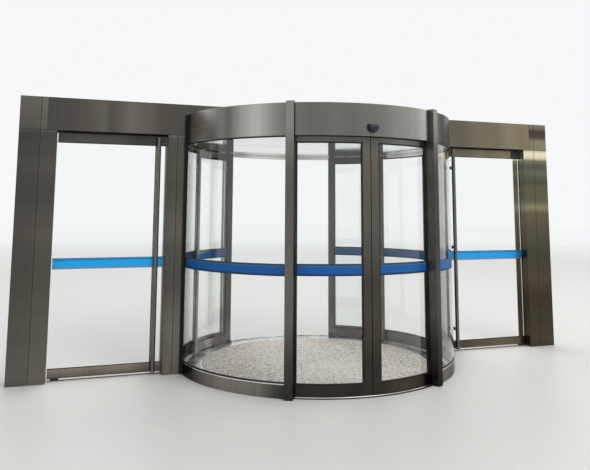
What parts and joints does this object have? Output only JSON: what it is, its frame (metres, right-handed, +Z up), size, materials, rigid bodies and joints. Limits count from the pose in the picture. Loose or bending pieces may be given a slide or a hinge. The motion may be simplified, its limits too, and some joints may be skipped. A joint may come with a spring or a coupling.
{
  "type": "curved automatic sliding door",
  "caption": "Glazed drum in a facade, with curved leaves sliding on an overhead track in each passage, between flanking bays with full height glass swing doors.",
  "frame": {"origin": "the drum's axis at floor level", "axes": "+Z up, +X along the facade, -Y towards the room the picture was taken from"},
  "size_m": [5.6446, 2.7726, 2.479],
  "materials": {
    "side_steel": "brushed, warm grey",
    "drum_steel": "polished, curved bands",
    "leaf_steel": "brushed",
    "ceiling_mirror": "mirror sheet",
    "clear_glass": "clear",
    "black_rubber": "matt",
    "black_plastic": "glossy",
    "black_block": "satin black",
    "tube_steel": "satin tube",
    "mat_fabric": "short pile",
    "track_aluminium": "mill finish",
    "floor_steel": "satin"
  },
  "bodies": {
    "fixed_frame": {"left_end_column": "side_steel", "right_end_column": "side_steel", "left_wall_post": "side_steel", "right_wall_post": "side_steel", "left_header": "side_steel", "right_header": "side_steel", "drum_beam": "side_steel", "passage_bands": "drum_steel", "side_bands": "drum_steel", "inner_posts": "drum_steel", "outer_posts": "drum_steel", "left_sill": "drum_steel", "right_sill": "drum_steel", "top_cover": "drum_steel", "ceiling": "ceiling_mirror", "left_screens": "clear_glass", "right_screens": "clear_glass", "screen_rubber": "black_rubber", "drum_closers": "black_rubber", "track_ring": "track_aluminium", "entrance_mat": "mat_fabric", "floor_tracks": "floor_steel", "floor_plates": "floor_steel", "floor_guides": "floor_steel", "motion_sensors": "black_plastic"},
    "inner_left_leaf": {"inner_left_frame": "leaf_steel", "inner_left_glass": "clear_glass", "inner_left_carriages": "track_aluminium"},
    "inner_right_leaf": {"inner_right_frame": "leaf_steel", "inner_right_glass": "clear_glass", "inner_right_carriages": "track_aluminium"},
    "outer_left_leaf": {"outer_left_frame": "leaf_steel", "outer_left_glass": "clear_glass", "outer_left_carriages": "track_aluminium"},
    "outer_right_leaf": {"outer_right_frame": "leaf_steel", "outer_right_glass": "clear_glass", "outer_right_carriages": "track_aluminium"},
    "left_door": {"left_door_rails": "side_steel", "left_door_pivot": "black_block", "left_door_glass": "clear_glass", "left_door_handles": "tube_steel"},
    "right_door": {"right_door_rails": "side_steel", "right_door_pivot": "black_block", "right_door_glass": "clear_glass", "right_door_handles": "tube_steel"}
  },
  "joints": [
    {"name": "inner_left_slide", "type": "hinge", "parent": "fixed_frame", "child": "inner_left_leaf", "pos_m": [0, 0, 0], "axis": [0, 0, -1], "range_deg": [0, 27.85]},
    {"name": "inner_right_slide", "type": "hinge", "parent": "fixed_frame", "child": "inner_right_leaf", "pos_m": [0, 0, 0], "axis": [0, 0, 1], "range_deg": [0, 27.85]},
    {"name": "outer_left_slide", "type": "hinge", "parent": "fixed_frame", "child": "outer_left_leaf", "pos_m": [0, 0, 0], "axis": [0, 0, -1], "range_deg": [0, 27.85]},
    {"name": "outer_right_slide", "type": "hinge", "parent": "fixed_frame", "child": "outer_right_leaf", "pos_m": [0, 0, 0], "axis": [0, 0, 1], "range_deg": [0, 27.85]},
    {"name": "left_door_swing", "type": "hinge", "parent": "fixed_frame", "child": "left_door", "pos_m": [-2.4413, 0, 0], "axis": [0, 0, 1], "range_deg": [-90, 90]},
    {"name": "right_door_swing", "type": "hinge", "parent": "fixed_frame", "child": "right_door", "pos_m": [2.4413, 0, 0], "axis": [0, 0, 1], "range_deg": [-90, 90]}
  ],
  "couplings": [
    {"joint": "inner_right_slide", "follows": "inner_left_slide", "ratio": 1},
    {"joint": "outer_right_slide", "follows": "outer_left_slide", "ratio": 1}
  ]
}
